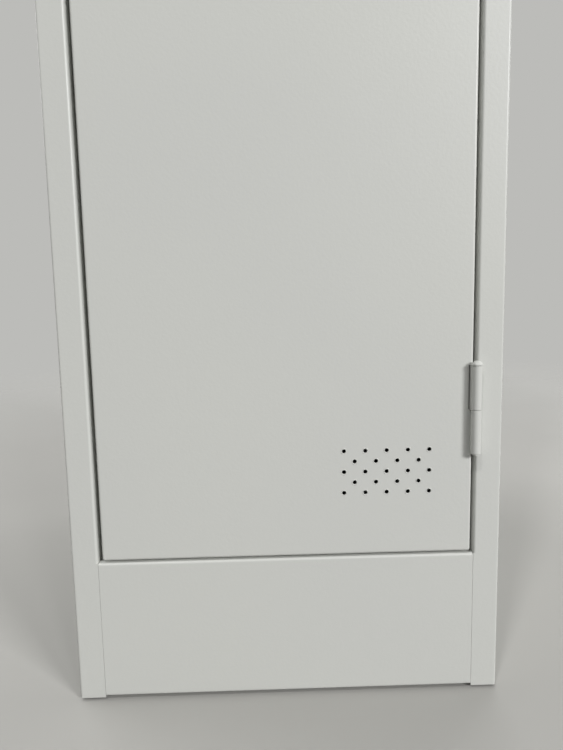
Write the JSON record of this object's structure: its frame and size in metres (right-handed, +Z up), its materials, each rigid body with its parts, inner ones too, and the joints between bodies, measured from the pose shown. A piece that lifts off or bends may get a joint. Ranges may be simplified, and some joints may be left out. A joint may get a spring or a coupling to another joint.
{
  "type": "single steel locker",
  "caption": "Tall narrow folded-sheet locker for one person: vented door on barrel hinges, recessed pull with cam lock, shelf, hanger rail and levelling feet.",
  "frame": {"origin": "floor level, below the middle of the outer box", "axes": "+X to the right seen from the front, +Y from the front to the back, +Z up"},
  "size_m": [0.317, 0.5224, 1.79],
  "materials": {
    "powder_coat": "white powder coat, semi-gloss with fine orange peel",
    "zinc_steel": "zinc plated",
    "chrome": "bright plated",
    "grey_plastic": "moulded, fine texture",
    "white_plastic": "moulded",
    "magnet": "ferrite",
    "rubber": "matt",
    "clear_plastic": "clear sheet",
    "paper": "plain card",
    "mirror": "silvered"
  },
  "bodies": {
    "cabinet": {"left_side_panel": "powder_coat", "right_side_panel": "powder_coat", "back_panel": "powder_coat", "top_panel": "powder_coat", "header_rail": "powder_coat", "floor_panel": "powder_coat", "kick_plate": "powder_coat", "foot_brackets": "zinc_steel", "foot_nuts": "zinc_steel", "hat_shelf": "powder_coat", "shelf_clips": "zinc_steel", "hanger_rail": "chrome", "rail_sockets": "grey_plastic", "coat_hooks": "chrome", "umbrella_holder": "powder_coat", "catch_body": "white_plastic", "catch_magnet": "magnet", "door_bumpers": "rubber", "lower_hinge_frame_leaf": "powder_coat", "middle_hinge_frame_leaf": "powder_coat", "upper_hinge_frame_leaf": "powder_coat", "lower_hinge_pin": "powder_coat", "middle_hinge_pin": "powder_coat", "upper_hinge_pin": "powder_coat"},
    "door": {"door_panel": "powder_coat", "door_stiffener": "powder_coat", "handle_cup": "grey_plastic", "lock_housing": "chrome", "lock_nut": "zinc_steel", "card_frame": "grey_plastic", "card_window": "clear_plastic", "name_card": "paper", "mirror_tray": "grey_plastic", "mirror_glass": "mirror", "towel_bar": "zinc_steel", "lower_hinge_door_leaf": "powder_coat", "middle_hinge_door_leaf": "powder_coat", "upper_hinge_door_leaf": "powder_coat"},
    "lock_cylinder": {"lock_plug": "chrome", "lock_cam": "zinc_steel", "cam_screw": "zinc_steel"},
    "drip_tray": {"drip_tray": "grey_plastic"},
    "front_left_foot": {"front_left_foot_pad": "rubber", "front_left_foot_stud": "zinc_steel"},
    "front_right_foot": {"front_right_foot_pad": "rubber", "front_right_foot_stud": "zinc_steel"},
    "rear_left_foot": {"rear_left_foot_pad": "rubber", "rear_left_foot_stud": "zinc_steel"},
    "rear_right_foot": {"rear_right_foot_pad": "rubber", "rear_right_foot_stud": "zinc_steel"}
  },
  "joints": [
    {"name": "door_swing", "type": "hinge", "parent": "cabinet", "child": "door", "pos_m": [0.13805, -0.25725, 0.933], "axis": [0, 0, 1], "range_deg": [0, 180]},
    {"name": "lock_turn", "type": "hinge", "parent": "door", "child": "lock_cylinder", "pos_m": [-0.098, -0.25375, 0.998], "axis": [0, 1, 0], "range_deg": [0, 90]},
    {"name": "drip_tray_lift", "type": "slide", "parent": "cabinet", "child": "drip_tray", "axis": [0, 0, 1], "range_m": [0, 0.06]},
    {"name": "front_left_foot_screw", "type": "slide", "parent": "cabinet", "child": "front_left_foot", "axis": [0, 0, -1], "range_m": [0, 0.01]},
    {"name": "front_right_foot_screw", "type": "slide", "parent": "cabinet", "child": "front_right_foot", "axis": [0, 0, -1], "range_m": [0, 0.01]},
    {"name": "rear_left_foot_screw", "type": "slide", "parent": "cabinet", "child": "rear_left_foot", "axis": [0, 0, -1], "range_m": [0, 0.01]},
    {"name": "rear_right_foot_screw", "type": "slide", "parent": "cabinet", "child": "rear_right_foot", "axis": [0, 0, -1], "range_m": [0, 0.01]}
  ]
}
